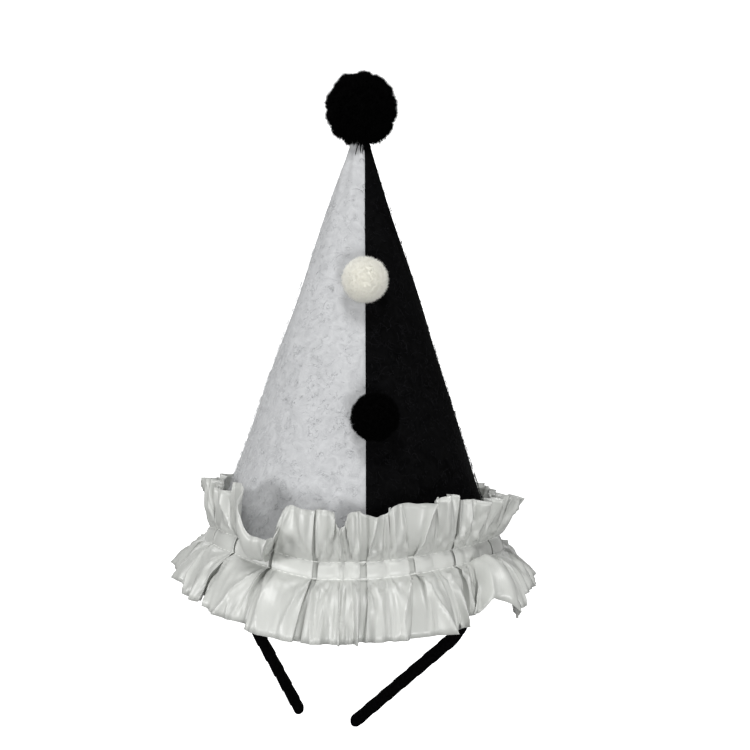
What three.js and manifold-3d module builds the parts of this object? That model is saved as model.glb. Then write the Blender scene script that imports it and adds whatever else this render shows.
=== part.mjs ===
// A mini clown hat on a headband. A tall felt cone, white on one half and black on the other, stands on
// a thin wrapped headband. A gathered satin ruffle goes round its foot, a big pompom sits on the tip and
// two small ones on the front.
// Millimetres, +Z up, the front faces -Y. The origin is on the underside of the headband's arch, under
// the middle of the cone, where the band rests on the head.
import * as THREE from 'three';
import { mergeVertices } from 'three/addons/utils/BufferGeometryUtils.js';
import Module from 'manifold-3d';

const wasm = await Module();
wasm.setup();

// Clearance between pieces that touch on the real hat
const SEAT_GAP = 0.3;

// Headband: an arch over the head, two tighter shoulders and two straight legs
const BAND_WIDTH = 7.6;
const BAND_THICKNESS = 6.2;
const BAND_SIDES = 8;
const ARCH_RADIUS = 77.5;
const SHOULDER_RADIUS = 37.4;
const LEFT_ARCH = 32.8;
const LEFT_SHOULDER = 54.1;
const LEFT_LEG = 77.6;
const RIGHT_ARCH = 43.4;
const RIGHT_SHOULDER = 61.1;
const RIGHT_LEG = 88.7;
const BAND_LEAN = 34.4;
const BAND_TWIST_LENGTH = 25;
const WRAP_PITCH = 13.5;
const WRAP_EDGE = 1;
const WRAP_RISE = 0.45;
const TIP_ROUNDING = 3.2;
const TIP_SHARE = 0.6;

// Felt cone, measured from its rim to its cut tip
const FELT_WALL = 1.6;
const CONE_BASE_RADIUS = 73.6;
const CONE_TIP_RADIUS = 4;
const CONE_HEIGHT = 205;
const CONE_TIP_SHIFT = 4;
const CONE_COLUMNS = 16;
const CONE_ROWS = [0, 0.12, 0.3, 0.5, 0.7, 0.85, 0.95, 1];
const SEAM_OFFSET = 2;
const SEAM_TURN = 3.4;
const DISC_THICKNESS = 2;
const DISC_SIDES = 48;

// Ruffle: a ribbon gathered on a casing between two stitched rows
const RIBBON_WALL = 1;
const CASING_HEIGHT = 7.3;
const CASING_LIFT = 7.4;
const CASING_TUCK = 1.2;
const UPPER_FRILL = 28;
const LOWER_FRILL = 29.5;
const HEM_TUCK = 6;
const FRILL_ROWS = [0, 0.35, 0.7, 1];
// How far across a puff each column stands, and how full the cloth is there at the casing and at a hem
const PUFF_COLUMNS = [
  { across: 0, atCasing: 0, atHem: 0 },
  { across: 0.1, atCasing: 0.85, atHem: 0.4 },
  { across: 0.26, atCasing: 1, atHem: 0.85 },
  { across: 0.5, atCasing: 0.9, atHem: 1 },
  { across: 0.74, atCasing: 1, atHem: 0.85 },
  { across: 0.9, atCasing: 0.85, atHem: 0.4 },
];
// One row for each puff in view. valley is where the pinch at its left stands, in degrees from the
// front towards +X, and rise is how much higher the casing runs there, as a share of its own height.
// upper and lower are shares of the frills' widths. The angles are how far each frill turns outwards
// at its stitches and at its hem, in degrees from straight up and straight down.
const FRONT_PUFFS = [
  {
    valley: -88, rise: 0.88, upper: 0.78, upperStitch: 12, upperHem: -8,
    lower: 0.76, lowerStitch: 66, lowerHem: 32,
  },
  {
    valley: -68.6, rise: 0.9, upper: 0.76, upperStitch: 14, upperHem: -8,
    lower: 0.97, lowerStitch: 56, lowerHem: 14,
  },
  {
    valley: -50.5, rise: 0.84, upper: 0.84, upperStitch: 66, upperHem: 0,
    lower: 1.04, lowerStitch: 60, lowerHem: 14,
  },
  {
    valley: -31, rise: 0.38, upper: 0.9, upperStitch: 30, upperHem: -6,
    lower: 1.08, lowerStitch: 62, lowerHem: 12,
  },
  {
    valley: -13.2, rise: -0.03, upper: 0.87, upperStitch: 30, upperHem: -4,
    lower: 1.07, lowerStitch: 62, lowerHem: 12,
  },
  {
    valley: 3.7, rise: 0, upper: 0.91, upperStitch: 28, upperHem: -4,
    lower: 1.07, lowerStitch: 62, lowerHem: 12,
  },
  {
    valley: 21.6, rise: 0.16, upper: 0.95, upperStitch: 26, upperHem: -4,
    lower: 1.08, lowerStitch: 62, lowerHem: 12,
  },
  {
    valley: 40.2, rise: 0.27, upper: 0.84, upperStitch: 24, upperHem: 0,
    lower: 1, lowerStitch: 76, lowerHem: 16,
  },
  {
    valley: 64.7, rise: 0.25, upper: 0.86, upperStitch: 40, upperHem: 22,
    lower: 0.88, lowerStitch: 64, lowerHem: 20,
  },
];
// The hidden back has plain puffs that wander a little about the same shares and angles. Its casing
// rises evenly from one side of the front to the other.
const BACK_START_ANGLE = 84;
const BACK_PUFFS = 10;
const BACK_WANDER = {
  upper: { mean: 0.66, swing: 0.06, step: 2.1 },
  upperStitch: { mean: 27, swing: 5, step: 1.9 },
  upperHem: { mean: -2, swing: 5, step: 1.3 },
  lower: { mean: 0.86, swing: 0.06, step: 2.6 },
  lowerStitch: { mean: 66, swing: 5, step: 2.3 },
  lowerHem: { mean: 24, swing: 5, step: 1.7 },
};

// Pompoms: radius over the tufts, and where each one sits. The top one's middle stands over the cone's
// cut tip. rise is a height above the cone's rim, turn is in degrees from the front towards +X, and
// sink is the share of the radius inside the felt's face.
const TOP_POMPOM_RADIUS = 18;
const TOP_POMPOM_OVER_TIP = 16;
const WHITE_POMPOM = { radius: 11.2, rise: 135, turn: 5.1, sink: 0.15 };
const BLACK_POMPOM = { radius: 11.9, rise: 72.4, turn: 8.7, sink: 0.15 };
const TOP_TUFTS = 34;
const SMALL_TUFTS = 20;
const TUFT_SIDES = 5;
// Shares of a pompom's radius: the round head, each tuft's root, width and blunt tip, and how far
// their lengths wander
const HEAD_SHARE = 0.86;
const TUFT_ROOT = 0.5;
const TUFT_WIDTH = 0.31;
const TUFT_SHOULDER = 0.75;
const TUFT_TIP = 0.5;
const TUFT_WANDER = 0.05;
const WANDER_STEP = 7;
const HEAD_DETAIL = 2;

const GOLDEN_ANGLE = Math.PI * (3 - Math.sqrt(5));
const FULL_TURN = 360;

// Heights that follow from the sizes above
const RIM_Z = BAND_THICKNESS + SEAT_GAP;
const TIP_Z = RIM_Z + CONE_HEIGHT;
const CONE_SLOPE = (CONE_BASE_RADIUS - CONE_TIP_RADIUS) / CONE_HEIGHT;
const CONE_SLANT = Math.hypot(1, CONE_SLOPE);
const CASING_Z = RIM_Z + CASING_LIFT;

const MATERIALS = {
  white_felt: new THREE.MeshStandardMaterial({ color: 0xd6d8da, roughness: 0.95, metalness: 0 }),
  black_felt: new THREE.MeshStandardMaterial({ color: 0x121212, roughness: 0.95, metalness: 0 }),
  satin: new THREE.MeshStandardMaterial({ color: 0xe3e4df, roughness: 0.35, metalness: 0 }),
  black_ribbon: new THREE.MeshStandardMaterial({ color: 0x0b0b0b, roughness: 0.85, metalness: 0 }),
  black_yarn: new THREE.MeshStandardMaterial({ color: 0x070707, roughness: 1, metalness: 0 }),
  white_yarn: new THREE.MeshStandardMaterial({ color: 0xf0efe6, roughness: 1, metalness: 0 }),
};

const object = new THREE.Group();

function add(name, geometry, material) {
  const mesh = new THREE.Mesh(geometry, material);
  mesh.name = name;
  object.add(mesh);
  return mesh;
}

function radians(degrees) {
  return THREE.MathUtils.degToRad(degrees);
}

// A geometry with shared corners merged, collapsed triangles dropped and its faces pointing out
function closed(geometry) {
  const bare = geometry.clone();
  bare.deleteAttribute('normal');
  bare.deleteAttribute('uv');
  const merged = mergeVertices(bare, 1e-4);
  const position = merged.attributes.position;
  const corner = (index) => new THREE.Vector3().fromBufferAttribute(position, index);
  const index = merged.index.array;
  const kept = [];
  let volume = 0;
  for (let i = 0; i < index.length; i += 3) {
    const [a, b, c] = [index[i], index[i + 1], index[i + 2]];
    if (a === b || b === c || c === a) {
      continue;
    }
    volume += corner(a).dot(corner(b).cross(corner(c)));
    kept.push([a, b, c]);
  }
  const facing = kept.map(([a, b, c]) => (volume < 0 ? [a, c, b] : [a, b, c]));
  merged.setIndex(facing.flat());
  return merged;
}

function fromPoints(points, triangles) {
  const geometry = new THREE.BufferGeometry();
  geometry.setAttribute('position', new THREE.Float32BufferAttribute(points.flatMap((p) => p.toArray()), 3));
  geometry.setIndex(triangles.flat());
  return closed(geometry);
}

// A closed wall between two matching grids of points, row by row. Where the rows run all the way
// round, the last column joins the first; otherwise the two ends get a face of their own.
function wallBetween(outer, inner, allRound) {
  const rows = outer.length;
  const columns = outer[0].length;
  const points = [...outer.flat(), ...inner.flat()];
  const at = (side, row, column) => side * rows * columns + row * columns + (column % columns);
  const triangles = [];
  const quad = (a, b, c, d) => triangles.push([a, b, c], [a, c, d]);
  const spans = allRound ? columns : columns - 1;
  for (let j = 0; j < spans; j += 1) {
    for (let i = 0; i < rows - 1; i += 1) {
      quad(at(0, i, j), at(0, i, j + 1), at(0, i + 1, j + 1), at(0, i + 1, j));
      quad(at(1, i, j + 1), at(1, i, j), at(1, i + 1, j), at(1, i + 1, j + 1));
    }
    quad(at(1, 0, j), at(1, 0, j + 1), at(0, 0, j + 1), at(0, 0, j));
    quad(at(0, rows - 1, j), at(0, rows - 1, j + 1), at(1, rows - 1, j + 1), at(1, rows - 1, j));
  }
  if (!allRound) {
    for (let i = 0; i < rows - 1; i += 1) {
      quad(at(0, i, 0), at(0, i + 1, 0), at(1, i + 1, 0), at(1, i, 0));
      quad(at(1, i, spans), at(1, i + 1, spans), at(0, i + 1, spans), at(0, i, spans));
    }
  }
  return fromPoints(points, triangles);
}

// A closed body through a line of rings, with a flat cap at each end
function throughRings(rings) {
  const sides = rings[0].length;
  const triangles = [];
  for (let i = 0; i < rings.length - 1; i += 1) {
    for (let j = 0; j < sides; j += 1) {
      const next = (j + 1) % sides;
      const [a, b] = [i * sides + j, i * sides + next];
      triangles.push([a, b, b + sides], [a, b + sides, a + sides]);
    }
  }
  const last = (rings.length - 1) * sides;
  for (let j = 1; j < sides - 1; j += 1) {
    triangles.push([0, j + 1, j], [last, last + j, last + j + 1]);
  }
  return fromPoints(rings.flat(), triangles);
}

function solidOf(geometry) {
  const body = closed(geometry);
  return new wasm.Manifold(new wasm.Mesh({
    numProp: 3,
    vertProperties: new Float32Array(body.attributes.position.array),
    triVerts: new Uint32Array(body.index.array),
  }));
}

function geometryOf(solid) {
  const mesh = solid.getMesh();
  const geometry = new THREE.BufferGeometry();
  geometry.setAttribute('position', new THREE.BufferAttribute(new Float32Array(mesh.vertProperties), 3));
  geometry.setIndex(new THREE.BufferAttribute(new Uint32Array(mesh.triVerts), 1));
  return geometry;
}

// The cone leans a little sideways, so its middle moves with height
function coneCentreX(z) {
  return ((z - RIM_Z) / CONE_HEIGHT) * CONE_TIP_SHIFT;
}

function coneRadius(z) {
  return CONE_BASE_RADIUS - (z - RIM_Z) * CONE_SLOPE;
}

// A point at a radius and a turn from the front, about the cone's middle at a height
function aroundCone(radius, turn, z) {
  return new THREE.Vector3(coneCentreX(z) + radius * Math.sin(turn), -radius * Math.cos(turn), z);
}

// The front seam stands a little to the right of the middle and comes nearer to it down the cone
function seamTurn(radius) {
  return Math.atan(SEAM_OFFSET / radius) + radians(SEAM_TURN);
}

// Half of the cone, from the front seam round to the back one. side is -1 for the left, 1 for the right.
function coneHalf(side) {
  const outer = [];
  const inner = [];
  for (const share of CONE_ROWS) {
    const z = RIM_Z + share * CONE_HEIGHT;
    const radius = coneRadius(z);
    const halfGap = SEAT_GAP / 2 / radius;
    const start = seamTurn(radius) + side * halfGap;
    const end = side * (Math.PI - halfGap);
    const turns = Array.from({ length: CONE_COLUMNS + 1 }, (_, j) => mix(start, end, j / CONE_COLUMNS));
    outer.push(turns.map((turn) => aroundCone(radius, turn, z)));
    inner.push(turns.map((turn) => aroundCone(radius - FELT_WALL, turn, z)));
  }
  return wallBetween(outer, inner, false);
}

// The disc fits inside the flats of the cone's rim and follows its slope
function baseDisc() {
  const topZ = RIM_Z + DISC_THICKNESS;
  const flats = Math.cos(Math.PI / (2 * CONE_COLUMNS));
  const inside = (z) => (coneRadius(z) - FELT_WALL) * flats - SEAT_GAP;
  const profile = [
    new THREE.Vector2(0, RIM_Z),
    new THREE.Vector2(inside(RIM_Z), RIM_Z),
    new THREE.Vector2(inside(topZ), topZ),
    new THREE.Vector2(0, topZ),
  ];
  return closed(new THREE.LatheGeometry(profile, DISC_SIDES).rotateX(Math.PI / 2));
}

function wander({ mean, swing, step }, i) {
  return mean + swing * Math.sin(step * i);
}

// All puffs in order round the foot, the front ones from the table and plain ones behind
function allPuffs() {
  const backSpan = FRONT_PUFFS[0].valley + FULL_TURN - BACK_START_ANGLE;
  const back = Array.from({ length: BACK_PUFFS }, (_, i) => {
    const share = i / BACK_PUFFS;
    const sizes = Object.entries(BACK_WANDER).map(([key, range]) => [key, wander(range, i)]);
    return {
      valley: BACK_START_ANGLE + backSpan * share,
      rise: mix(FRONT_PUFFS.at(-1).rise, FRONT_PUFFS[0].rise, share),
      ...Object.fromEntries(sizes),
    };
  });
  return [...FRONT_PUFFS, ...back];
}

function mix(a, b, share) {
  return a + (b - a) * share;
}

// The columns round the ruffle. Towards a valley a puff's sizes pass into its neighbour's.
function ruffleColumns() {
  const puffs = allPuffs();
  return puffs.flatMap((puff, i) => {
    const before = puffs[(i + puffs.length - 1) % puffs.length];
    const after = puffs[(i + 1) % puffs.length];
    const nextValley = after.valley + (i + 1 === puffs.length ? FULL_TURN : 0);
    return PUFF_COLUMNS.map(({ across, atCasing, atHem }) => {
      const neighbour = across < 0.5 ? before : after;
      const size = (key) => mix((puff[key] + neighbour[key]) / 2, puff[key], atHem);
      const frill = (key, width) => ({
        length: size(key) * width,
        stitch: radians(size(`${key}Stitch`)),
        hem: radians(size(`${key}Hem`)),
      });
      return {
        turn: radians(mix(puff.valley, nextValley, across)),
        rise: mix(puff.rise, after.rise, across) * CASING_HEIGHT,
        atCasing,
        atHem,
        upper: frill('upper', UPPER_FRILL),
        lower: frill('lower', LOWER_FRILL),
      };
    });
  });
}

// A point of one column of the ruffle, as radius and height. share is how far it is from the stitches
// to the hem, and the cloth turns evenly from its angle at the one to its angle at the other.
function frillPoint(column, { length, stitch, hem }, share, up, inset) {
  const rootZ = CASING_Z + column.rise + (up * CASING_HEIGHT) / 2;
  const rootRadius = coneRadius(rootZ) + SEAT_GAP + RIBBON_WALL + CASING_TUCK;
  const angle = mix(stitch, hem, share);
  const arc = length / (hem - stitch);
  const out = arc * (Math.cos(stitch) - Math.cos(angle));
  const along = arc * (Math.sin(angle) - Math.sin(stitch));
  const tuck = mix(CASING_TUCK * (1 - column.atCasing), HEM_TUCK * (1 - column.atHem), share) + inset;
  const facing = share === 0 ? 0 : angle;
  return {
    radius: rootRadius + out - tuck * Math.cos(facing),
    z: rootZ + up * (along + tuck * Math.sin(facing)),
  };
}

// One column of the ruffle from its lower hem to its upper one
function ruffleProfile(column, inset) {
  const lower = [...FRILL_ROWS].reverse().map((share) => frillPoint(column, column.lower, share, -1, inset));
  const upper = FRILL_ROWS.map((share) => frillPoint(column, column.upper, share, 1, inset));
  return [...lower, ...upper];
}

function ruffle() {
  const columns = ruffleColumns();
  const centreX = coneCentreX(CASING_Z);
  const grid = (inset) => {
    const profiles = columns.map((column) => ruffleProfile(column, inset));
    return profiles[0].map((_, row) => profiles.map(({ [row]: { radius, z } }, j) => {
      const { turn } = columns[j];
      return new THREE.Vector3(centreX + radius * Math.sin(turn), -radius * Math.cos(turn), z);
    }));
  };
  return wallBetween(grid(0), grid(RIBBON_WALL), true);
}

// The outside of the cone, grown by the clearance, which the pompoms are pressed onto
function conePress() {
  const grow = SEAT_GAP * CONE_SLANT;
  const profile = [
    new THREE.Vector2(0, RIM_Z),
    new THREE.Vector2(CONE_BASE_RADIUS + grow, RIM_Z),
    new THREE.Vector2(CONE_TIP_RADIUS + grow, TIP_Z + SEAT_GAP),
    new THREE.Vector2(0, TIP_Z + SEAT_GAP),
  ];
  const press = new THREE.LatheGeometry(profile, DISC_SIDES).rotateX(Math.PI / 2);
  const lean = new THREE.Matrix4().makeShear(0, 0, 0, 0, CONE_TIP_SHIFT / CONE_HEIGHT, 0);
  const toRim = new THREE.Matrix4().makeTranslation(0, 0, -RIM_Z);
  const back = new THREE.Matrix4().makeTranslation(0, 0, RIM_Z);
  return press.applyMatrix4(back.multiply(lean).multiply(toRim));
}

// One tuft along +Y: a blunt tapered lock from inside the head out to its own length
function tuft(radius, length) {
  const root = radius * TUFT_ROOT;
  const width = radius * TUFT_WIDTH;
  const profile = [
    new THREE.Vector2(0, root),
    new THREE.Vector2(width, mix(root, length, TUFT_SHOULDER)),
    new THREE.Vector2(width * TUFT_TIP, length),
    new THREE.Vector2(0, length),
  ];
  return new THREE.LatheGeometry(profile, TUFT_SIDES);
}

// A pompom: tufts spread evenly over a round head and fused to it, then pressed onto the cone
function pompom(radius, tufts, centre) {
  const up = new THREE.Vector3(0, 1, 0);
  let body = solidOf(new THREE.IcosahedronGeometry(radius * HEAD_SHARE, HEAD_DETAIL));
  for (let i = 0; i < tufts; i += 1) {
    const height = 1 - (2 * i + 1) / tufts;
    const turn = i * GOLDEN_ANGLE;
    const flat = Math.sqrt(1 - height * height);
    const way = new THREE.Vector3(flat * Math.cos(turn), flat * Math.sin(turn), height);
    const length = radius * (1 - TUFT_WANDER * (1 + Math.sin(i * WANDER_STEP)));
    const spin = new THREE.Quaternion().setFromUnitVectors(up, way);
    body = body.add(solidOf(tuft(radius, length).applyQuaternion(spin)));
  }
  const placed = geometryOf(body).translate(centre.x, centre.y, centre.z);
  return geometryOf(solidOf(placed).subtract(solidOf(conePress())));
}

// The middle of a small pompom that sits on the felt
function onCone({ radius, rise, turn, sink }) {
  const z = RIM_Z + rise;
  const reach = (radius * (1 - sink)) / CONE_SLANT;
  return aroundCone(coneRadius(z) + reach, radians(turn), z).add(new THREE.Vector3(0, 0, reach * CONE_SLOPE));
}

// The headband's middle line, in its own upright plane: how far out and down it is after a length
function bandPlace(length, side) {
  const arch = side < 0 ? LEFT_ARCH : RIGHT_ARCH;
  const shoulder = side < 0 ? LEFT_SHOULDER : RIGHT_SHOULDER;
  const sections = [
    { radius: ARCH_RADIUS, length: arch },
    { radius: SHOULDER_RADIUS, length: shoulder },
    { radius: Infinity, length: Infinity },
  ];
  let [out, down, angle, rest] = [0, 0, 0, length];
  for (const section of sections) {
    const step = Math.min(rest, section.length);
    if (section.radius === Infinity) {
      out += step * Math.cos(angle);
      down += step * Math.sin(angle);
    } else {
      const end = angle + step / section.radius;
      out += section.radius * (Math.sin(end) - Math.sin(angle));
      down += section.radius * (Math.cos(angle) - Math.cos(end));
      angle = end;
    }
    rest -= step;
  }
  return { out: side * out, down, angle: side * angle };
}

// How thick the wrapped ribbon is at a length: each turn swells slowly and then steps down
function wrapSwell(length) {
  const share = length / WRAP_PITCH - Math.floor(length / WRAP_PITCH);
  const crest = 1 - WRAP_EDGE / WRAP_PITCH;
  return share < crest ? share / crest : (1 - share) / (1 - crest);
}

// Lengths along one side where a ring stands: the two edges of each wrap, the middle, and the tip
function ringLengths(total) {
  const lengths = [];
  for (let start = 0; start < total - WRAP_PITCH / 2; start += WRAP_PITCH) {
    lengths.push(start, start + WRAP_PITCH / 2, start + WRAP_PITCH - WRAP_EDGE);
  }
  return [...lengths.filter((length) => length < total - 2 * TIP_ROUNDING), total - TIP_ROUNDING, total];
}

function bandRing(length, side, total) {
  const { out, down, angle } = bandPlace(length, side);
  const lean = radians(BAND_LEAN);
  const twist = lean * (1 - Math.min(1, length / BAND_TWIST_LENGTH));
  const tip = length < total ? 1 : TIP_SHARE;
  const shrink = WRAP_RISE * (1 - wrapSwell(length));
  const halfWidth = (BAND_WIDTH / 2 - shrink) * tip;
  const halfThickness = (BAND_THICKNESS / 2 - shrink) * tip;
  return Array.from({ length: BAND_SIDES }, (_, j) => {
    const round = ((j + 0.5) * 2 * Math.PI) / BAND_SIDES;
    const corner = 1 / Math.cos(Math.PI / BAND_SIDES);
    const across = halfWidth * corner * Math.cos(round);
    const through = halfThickness * corner * Math.sin(round);
    const point = new THREE.Vector3(0, across, through);
    point.applyAxisAngle(new THREE.Vector3(1, 0, 0), -twist);
    point.applyAxisAngle(new THREE.Vector3(0, 1, 0), angle);
    point.add(new THREE.Vector3(out, 0, -down));
    point.applyAxisAngle(new THREE.Vector3(1, 0, 0), lean);
    return point.add(new THREE.Vector3(0, 0, BAND_THICKNESS / 2));
  });
}

function headband() {
  const leftTotal = LEFT_ARCH + LEFT_SHOULDER + LEFT_LEG;
  const rightTotal = RIGHT_ARCH + RIGHT_SHOULDER + RIGHT_LEG;
  const left = ringLengths(leftTotal).slice(1).reverse().map((length) => bandRing(length, -1, leftTotal));
  const right = ringLengths(rightTotal).map((length) => bandRing(length, 1, rightTotal));
  return throughRings([...left, ...right]);
}

add('cone_white', coneHalf(-1), MATERIALS.white_felt);
add('cone_black', coneHalf(1), MATERIALS.black_felt);
add('base_disc', baseDisc(), MATERIALS.black_felt);
add('ruffle', ruffle(), MATERIALS.satin);
const topCentre = aroundCone(0, 0, TIP_Z + TOP_POMPOM_OVER_TIP);
add('top_pompom', pompom(TOP_POMPOM_RADIUS, TOP_TUFTS, topCentre), MATERIALS.black_yarn);
add('white_pompom', pompom(WHITE_POMPOM.radius, SMALL_TUFTS, onCone(WHITE_POMPOM)), MATERIALS.white_yarn);
add('black_pompom', pompom(BLACK_POMPOM.radius, SMALL_TUFTS, onCone(BLACK_POMPOM)), MATERIALS.black_yarn);
add('headband', headband(), MATERIALS.black_ribbon);

export default object;
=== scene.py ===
# A mini clown hat on a headband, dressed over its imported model. Metres, +Z up, the front faces -Y.
import math

import bpy
import numpy as np
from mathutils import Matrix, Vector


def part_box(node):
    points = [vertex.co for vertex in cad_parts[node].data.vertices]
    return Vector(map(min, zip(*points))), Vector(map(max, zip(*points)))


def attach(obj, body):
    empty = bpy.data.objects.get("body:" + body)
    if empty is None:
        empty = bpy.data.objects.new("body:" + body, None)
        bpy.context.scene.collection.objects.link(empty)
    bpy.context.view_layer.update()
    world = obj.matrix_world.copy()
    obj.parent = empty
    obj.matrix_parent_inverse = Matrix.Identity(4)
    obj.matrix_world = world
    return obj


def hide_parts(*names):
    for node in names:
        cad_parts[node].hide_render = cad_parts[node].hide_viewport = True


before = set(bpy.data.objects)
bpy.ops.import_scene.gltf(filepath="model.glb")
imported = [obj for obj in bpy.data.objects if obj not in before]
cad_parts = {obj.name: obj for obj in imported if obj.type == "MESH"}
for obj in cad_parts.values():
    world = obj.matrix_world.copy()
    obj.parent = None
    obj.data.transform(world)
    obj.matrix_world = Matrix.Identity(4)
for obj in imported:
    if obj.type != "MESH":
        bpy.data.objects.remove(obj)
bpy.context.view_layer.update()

# Felt cone, read from its node: the back seam gives its radius at the rim
RIM_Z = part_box("cone_white")[0][2]
TIP_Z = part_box("cone_white")[1][2]
BASE_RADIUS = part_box("cone_white")[1][1]
TIP_RADIUS = 0.004
TIP_SHIFT = 0.004
FELT_WALL = 0.0016
SEAM_OFFSET = 0.002
SEAM_TURN = 3.4
SEAM_GAP = 0.0003
SEAM_ROLL = 0.0004
SEAM_ROLL_WIDTH = 0.0007
FELT_SWAY = 0.00025
# How many waves go round the cone, how fast they turn with its height, and where they start
FELT_SWAY_WAVES = [(3, 31, 0), (5, -57, 1.3), (9, 90, 0)]
FELT_SWAY_START = 0.02
FELT_ROWS = 90
FELT_COLUMNS = 110
FELT_SEAM_CROWDING = 0.5
FELT_SHARP = 60
CONE_SLOPE = (BASE_RADIUS - TIP_RADIUS) / (TIP_Z - RIM_Z)

# Disc under the cone
DISC_SIDES = 128
DISC_EDGE = 0.0005
DISC_RINGS = (0.2, 0.6, 0.9)

# Ruffle: a ribbon gathered on a casing between two stitched rows
SEAT_GAP = 0.0003
SATIN_WALL = 0.00035
CASING_HEIGHT = 0.0073
CASING_LIFT = 0.0074
CASING_DEPTH = 0.002
CASING_BULGE = 0.0005
STITCH_GROOVE = 0.0003
UPPER_FRILL = 0.028
LOWER_FRILL = 0.0295
UPPER_DEPTH = 0.0045
LOWER_DEPTH = 0.0045
CASING_Z = RIM_Z + CASING_LIFT
# One row for each puff in view, or for each part of one between two folds. valley is where the pinch or
# fold at its left stands, in degrees from the front towards +X, and rise is how much higher the casing
# runs there, in millimetres. upper and lower each give a frill's length as a share of its width, how far
# the cloth turns outwards at its stitches and at its hem, in degrees from straight up or straight down,
# and its bend: the smaller that is, the sooner the cloth turns from the one to the other.
PUFFS = [
    dict(valley=-88, rise=2.5, upper=(0.88, 14, -8, 0.8), lower=(0.8, 60, 28, 0.6)),
    dict(valley=-68.6, rise=6.2, upper=(0.76, 18, -8, 0.8), lower=(0.96, 64, 12, 0.6)),
    dict(valley=-50.5, rise=6.1, upper=(1.04, 40, -12, 0.6), lower=(1.01, 74, 12, 0.6)),
    dict(valley=-31, rise=2.8, upper=(0.93, 46, -8, 0.7), lower=(1.09, 76, 10, 0.6)),
    dict(valley=-13.2, rise=-0.2, upper=(0.99, 46, -4, 0.7), lower=(1.08, 76, 8, 0.6)),
    dict(valley=-6.1, rise=-0.1, upper=(0.73, 46, 16, 0.7), lower=(1.09, 76, 8, 0.6)),
    dict(valley=-1.7, rise=0, upper=(0.91, 38, -4, 0.7), lower=(1.08, 76, 8, 0.6)),
    dict(valley=3.7, rise=0, upper=(0.83, 38, 0, 0.7), lower=(1.06, 76, 8, 0.6)),
    dict(valley=12.3, rise=0.5, upper=(0.98, 36, -6, 0.7), lower=(1.08, 76, 8, 0.6)),
    dict(valley=21.6, rise=1.2, upper=(0.94, 38, -4, 0.7), lower=(1.09, 76, 12, 0.6)),
    dict(valley=30.7, rise=1.7, upper=(1.03, 38, -6, 0.7), lower=(1.05, 76, 14, 0.6)),
    dict(valley=39.6, rise=2.1, upper=(0.9, 34, 0, 0.7), lower=(0.84, 72, 14, 0.6)),
    dict(valley=46, rise=2.1, upper=(0.86, 36, 8, 0.7), lower=(1.26, 100, 8, 0.6)),
    dict(valley=55, rise=2, upper=(0.86, 36, 8, 0.7), lower=(1.02, 84, 14, 0.6)),
    dict(valley=64.7, rise=1.8, upper=(0.84, 41, 20, 0.8), lower=(0.8, 66, 22, 0.6)),
]
# The hidden back has plain puffs: each size is a mean and the swing, step and start of a slow wander.
# Its casing's rise passes evenly from the first to the second one given.
BACK_START = 84
BACK_PUFFS = 10
BACK_RISE = (-1, 2.5)
BACK_WANDER = dict(
    upper=((0.66, 0.13, 0.3, -0.5), (28, 6, 1.9, 0), (0, 6, 1.3, 0), (0.7, 0, 0, 0)),
    lower=((0.85, 0.06, 2.6, 0), (62, 5, 2.3, 0), (24, 5, 1.7, 0), (0.7, 0, 0, 0)),
)
# One row for each valley in view, in the same order, at the casing and at the two hems. open is the
# width of the recess and left and right are how far the puffs beside it hang over it, in millimetres,
# or below nought how softly they slope into it. depth is a share of the full one, which is 0 where a
# fold begins past the casing. lean is how many degrees the valley has wandered sideways by the hem.
PINCH = dict(open=4.4, left=1.4, right=1, depth=1)
NO_PINCH = dict(open=1, left=-1.2, right=-1.2, depth=0)
CASING_VALLEYS = [
    dict(PINCH, open=3, left=1),
    dict(PINCH, open=3.4, left=1.8),
    dict(PINCH, open=3.4, left=1.8, right=0.4),
    dict(PINCH, open=3.6, left=1.2, right=0.8),
    dict(PINCH, open=4.6, left=1, right=1.2),
    NO_PINCH,
    NO_PINCH,
    dict(PINCH, open=5, left=1),
    NO_PINCH,
    dict(PINCH, open=5.2, left=1, right=1.4),
    NO_PINCH,
    dict(PINCH, open=4.6, right=1.8),
    NO_PINCH,
    NO_PINCH,
    dict(PINCH, open=4.4, right=1.4),
]
UPPER_VALLEYS = [
    dict(open=3, left=-2, right=1, depth=1, lean=0),
    dict(open=3.4, left=-2, right=2.2, depth=1, lean=-1),
    dict(open=8, left=-2.5, right=1.6, depth=0.9, lean=0.8),
    dict(open=3, left=1, right=0.8, depth=1.2, lean=6.4),
    dict(open=3.4, left=1, right=1.4, depth=1.1, lean=1.2),
    dict(open=1.4, left=1.6, right=-2, depth=0.6, lean=0),
    dict(open=1.4, left=-2, right=1.8, depth=0.5, lean=0),
    dict(open=5.4, left=1, right=-3, depth=0.9, lean=-0.6),
    dict(open=1, left=-2, right=1.2, depth=0.3, lean=0),
    dict(open=15, left=1.4, right=-2, depth=0.5, lean=-0.4),
    dict(open=1.4, left=-2, right=2, depth=0.6, lean=0),
    dict(open=3, left=1.6, right=0.8, depth=1.3, lean=-1.6),
    dict(open=1, left=-3, right=-3, depth=0, lean=0),
    dict(open=1, left=-3, right=-3, depth=0, lean=0),
    dict(open=4, left=2, right=0.6, depth=1.1, lean=2),
]
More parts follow.
